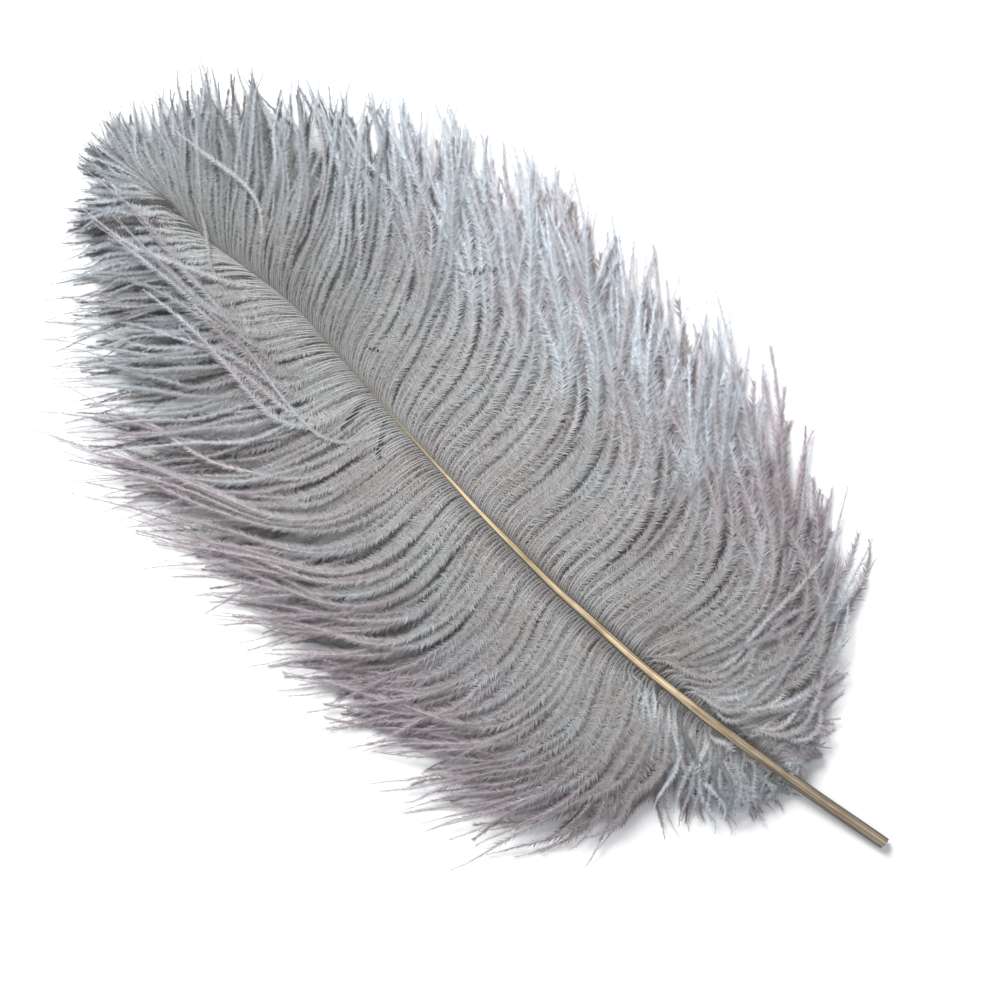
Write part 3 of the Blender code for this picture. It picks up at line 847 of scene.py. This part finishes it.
    # painted shade: the lower layer, seen between the upper locks, is painted darker and more purple
    if lower:
        low, high = LOWER_PAINTED_SHADE[side]
        tint = tint - 0.25
        depth = ((low + (high - low) * ease(roots, 0.15, 0.28)) * (1 - 0.6 * far))[:, None]
        tone = tone * (LOWER_ROOT_PAINTED_SHADE
                       + (depth - LOWER_ROOT_PAINTED_SHADE) * ease(gone, 20 * MM, 60 * MM))
        full = full * 1.4
        rib_highlight *= 0.7
    return (np.concatenate([lines, heights[..., None]], 2), lengths, tone, tint, full, rib_highlight,
            np.full(count, side))


for side, label in ((1, "left"), (-1, "right")):
    upper = grow_barbs(side, UPPER_SPACING, IN_UPPER_LOCK, HOLD[side], partings=PARTINGS)
    for number, part in enumerate(np.array_split(np.arange(len(upper[0])), PIECES_PER_SIDE), 1):
        barbs_object(f"{label}_vane_{number}", *(values[part] for values in upper))
    under = grow_barbs(side, LOWER_SPACING, IN_LOWER_LOCK, LOWER_HOLD, lower=True,
                       first=FIRST_LOWER_BARBS)
    barbs_object(f"{label}_underside", *under, pitch=LOWER_PITCH, stub=1.0, hatch=1.5)

# ---------------------------------------------------------------------------------------------
# The fan round the tip. Here the shaft ends, and the dyed barbs spread out round it in pale
# bunches over darker ones, which are painted shade. One lock has parted from the rest to the left,
# and the barbs below it are painted a dark purple-brown as shade.

TIP_FAN = 30                      # barbs in it, to the left
FAN_ROOTS = (0.3785, 0.0035)      # where they leave the shaft, and over how long a stretch
RIGHT_FAN_ROOTS = (0.3795, 0.0025)
FAN_ANGLE = 34                    # degrees from the way the shaft points, to the left
RIGHT_FAN_ANGLE = 16
FAN_SCATTER = 7
FAN_TONE = 0.67
# painted shade: the fan's lower barbs, which lie under the rest
UNDER_FAN_PAINTED_SHADE = 0.22
PARTED_LOCK = 6                   # barbs in it
PARTED_ROOTS = (0.3778, 0.0012)
PARTED_TONE = 1.02
DARK_ROOTS = (0.362, 0.015)
# painted shade: the barbs below the parted lock
PARTING_PAINTED_SHADE = 0.16
# How far barbs that keep to no lock sway, curl, and lie higher or lower than others
FREE_WAVE = 0.8 * MM
FREE_CURL = 2.0 * MM
FREE_RISE = 0.7 * MM
FREE_POINTS = (0.5 * MM, 3.0 * MM)    # heights of the points, from and to


def grow_freely(side, roots, inner, outer, longest=1.0, turn_to=TURN_TO, *, shade, tint=0.0,
                held_up=0.0, stray=1.0, full=1.0, rib_highlight=0.8, rise=1.2 * MM, patchy=0.18):
    """Barbs that keep to no lock, for the fan round the tip, the down at the base and strays."""
    count = len(roots)
    lines, lengths = follow_barbs(roots, side, inner, outer, chance.uniform(0.85, 1.08, count),
                                  turn_to, longest)
    t = BARB_SHARES[None]
    wave = ripple(stray * scatter(FREE_WAVE, count), 1.2, chance.random(count))
    curl = stray * scatter(FREE_CURL, count)[:, None] * ease(t, 0.4, 1.0)
    lines = lines + (wave * ease(t, 0.05, 0.4) + curl)[..., None] * sideways_of(lines)
    raised = (rise + chance.uniform(-FREE_RISE, FREE_RISE, count))[:, None] * np.ones_like(t)
    heights = barb_heights(roots, np.full(count, 1 - held_up), lengths,
                           chance.uniform(*FREE_POINTS, count), raised)
    tone = (shade * (1 + scatter(patchy, count)))[:, None] * np.ones_like(t)
    tint = (tint + scatter(0.10, count))[:, None] * np.ones_like(t)
    return (np.concatenate([lines, heights[..., None]], 2), lengths, tone, tint,
            full * chance.uniform(0.8, 1.2, count), np.full(count, rib_highlight), np.full(count, side))


def joined(*groups):
    """Several groups of barbs as one."""
    return [np.concatenate(values) for values in zip(*groups)]


def roots_over(stretch, shares):
    """Places along the shaft, at shares of a stretch that is given as its start and length."""
    return stretch[0] + stretch[1] * shares


fan = np.linspace(0, 1, TIP_FAN)
half = fan[::2]
spread = FAN_ANGLE * (1 - fan) + chance.normal(0, FAN_SCATTER, TIP_FAN)
close = np.linspace(0, 1, PARTED_LOCK)
barbs_object("tip_fan", *joined(
    grow_freely(1, roots_over(FAN_ROOTS, fan), spread, spread - 2,
                shade=FAN_TONE, tint=0.3, stray=2.4, full=0.45, patchy=0.42),
    grow_freely(-1, roots_over(RIGHT_FAN_ROOTS, half), RIGHT_FAN_ANGLE * (1 - half),
                RIGHT_FAN_ANGLE / 2 * (1 - half),
                shade=FAN_TONE, tint=0.3, stray=2.4, full=0.45, patchy=0.42),
    grow_freely(1, roots_over(FAN_ROOTS, fan), spread[::-1], spread[::-1] - 2,
                shade=UNDER_FAN_PAINTED_SHADE, full=0.7, rise=-1.5 * MM),
    grow_freely(1, roots_over(PARTED_ROOTS, close), 41 - 4 * close, 44 - 8 * close,
                shade=PARTED_TONE, tint=0.35, held_up=0.3, stray=0.8, full=0.6),
    grow_freely(1, roots_over(DARK_ROOTS, fan), 47 - 3 * fan, 47 - 3 * fan,
                shade=PARTING_PAINTED_SHADE, tint=-0.6, stray=1.5, full=0.8, rise=0),
), splits=(), hatch=0.7)

# ---------------------------------------------------------------------------------------------
# Down at the lower end of the vanes: short, pale, very soft barbs. On the left they hang straight
# out from the shaft, on the right some lie back along the quill and wisps stand round its end.

# side, roots from and to, angle that they leave at and turn to, spread of angle, lengths from and
# to, tone, tint, how full, and how many
DOWN = (
    (1, 0.072, 0.124, 138, 128, 16, 26 * MM, 46 * MM, 1.24, 0.20, 0.62, 64),
    (1, 0.048, 0.084, 150, 118, 30, 14 * MM, 36 * MM, 1.05, 0.10, 0.95, 54),
    (-1, 0.084, 0.108, 150, 136, 20, 26 * MM, 46 * MM, 1.24, 0.25, 0.7, 36),
    (-1, 0.066, 0.088, 168, 158, 7, 20 * MM, 30 * MM, 0.95, 0.10, 0.8, 12),
    (-1, 0.060, 0.124, 128, 84, 30, 40 * MM, 88 * MM, 1.17, -0.05, 0.72, 54),
    (-1, 0.046, 0.060, 150, 122, 26, 18 * MM, 36 * MM, 1.12, 0.00, 0.95, 28),
)
DOWN_TURNED = 40 * MM             # from the shaft, where they have turned
down = []
for side, low, high, leave, turn_to, stir, short, long, tone, tint, full, many in DOWN:
    down.append(grow_freely(side, chance.uniform(low, high, many), leave + scatter(stir, many),
                            turn_to + scatter(stir, many), chance.uniform(short, long, many),
                            DOWN_TURNED, shade=tone, tint=tint, held_up=0.3, stray=2.6, full=full,
                            rib_highlight=0.5, rise=2 * MM, patchy=0.3))
barbs_object("base_down", *joined(*down), splits=(), hatch=0.55)

# ---------------------------------------------------------------------------------------------
# Strays: a bundle of barbs of the left vane sweeps round to lie along the shaft near the tip, over
# the rest, and a few single ones cross the vanes. They are the same dyed keratin.

STRAYS = 15                       # barbs in the bundle
STRAY_ROOTS = (0.264, 0.320)
STRAY_ANGLES = (-12, 14)          # degrees that they turn to, from and to
STRAY_LENGTHS = (70 * MM, 118 * MM)
STRAY_TURNED = (34 * MM, 60 * MM)     # from the shaft, where they have turned
STRAY_TONE = 1.18
STRAND_TONE = 1.10
# side, root, angle that it leaves at and turns to, where it has turned, length
STRANDS = (
    (1, 0.250, 70, -6, 42 * MM, 98 * MM), (1, 0.326, 46, -30, 26 * MM, 58 * MM),
    (1, 0.300, 56, -8, 50 * MM, 92 * MM), (-1, 0.330, 60, -4, 48 * MM, 86 * MM),
    (-1, 0.262, 84, 62, 50 * MM, 96 * MM),
    (-1, 0.150, 108, 78, 60 * MM, 100 * MM), (1, 0.140, 112, 64, 60 * MM, 104 * MM),
)
stray_at = np.linspace(*STRAY_ROOTS, STRAYS) + chance.normal(0, 2 * MM, STRAYS)
stray_leave = read_table(LEFT_FLOW, stray_at, 1) + chance.normal(0, 4, STRAYS)
strays = [grow_freely(1, stray_at, stray_leave, chance.uniform(*STRAY_ANGLES, STRAYS),
                      chance.uniform(*STRAY_LENGTHS, STRAYS),
                      chance.uniform(*STRAY_TURNED, STRAYS),
                      shade=STRAY_TONE, held_up=0.5, stray=1.8, full=0.95, rib_highlight=0.4)]
sides, root, leave, turned, by, long = (np.array(column) for column in zip(*STRANDS))
for side in (1, -1):
    k = sides == side
    strays.append(grow_freely(side, root[k], leave[k], turned[k], long[k], by[k],
                              shade=STRAND_TONE, tint=0.1, held_up=0.7, full=0.5, rib_highlight=0.6))
barbs_object("stray_barbs", *joined(*strays), splits=())
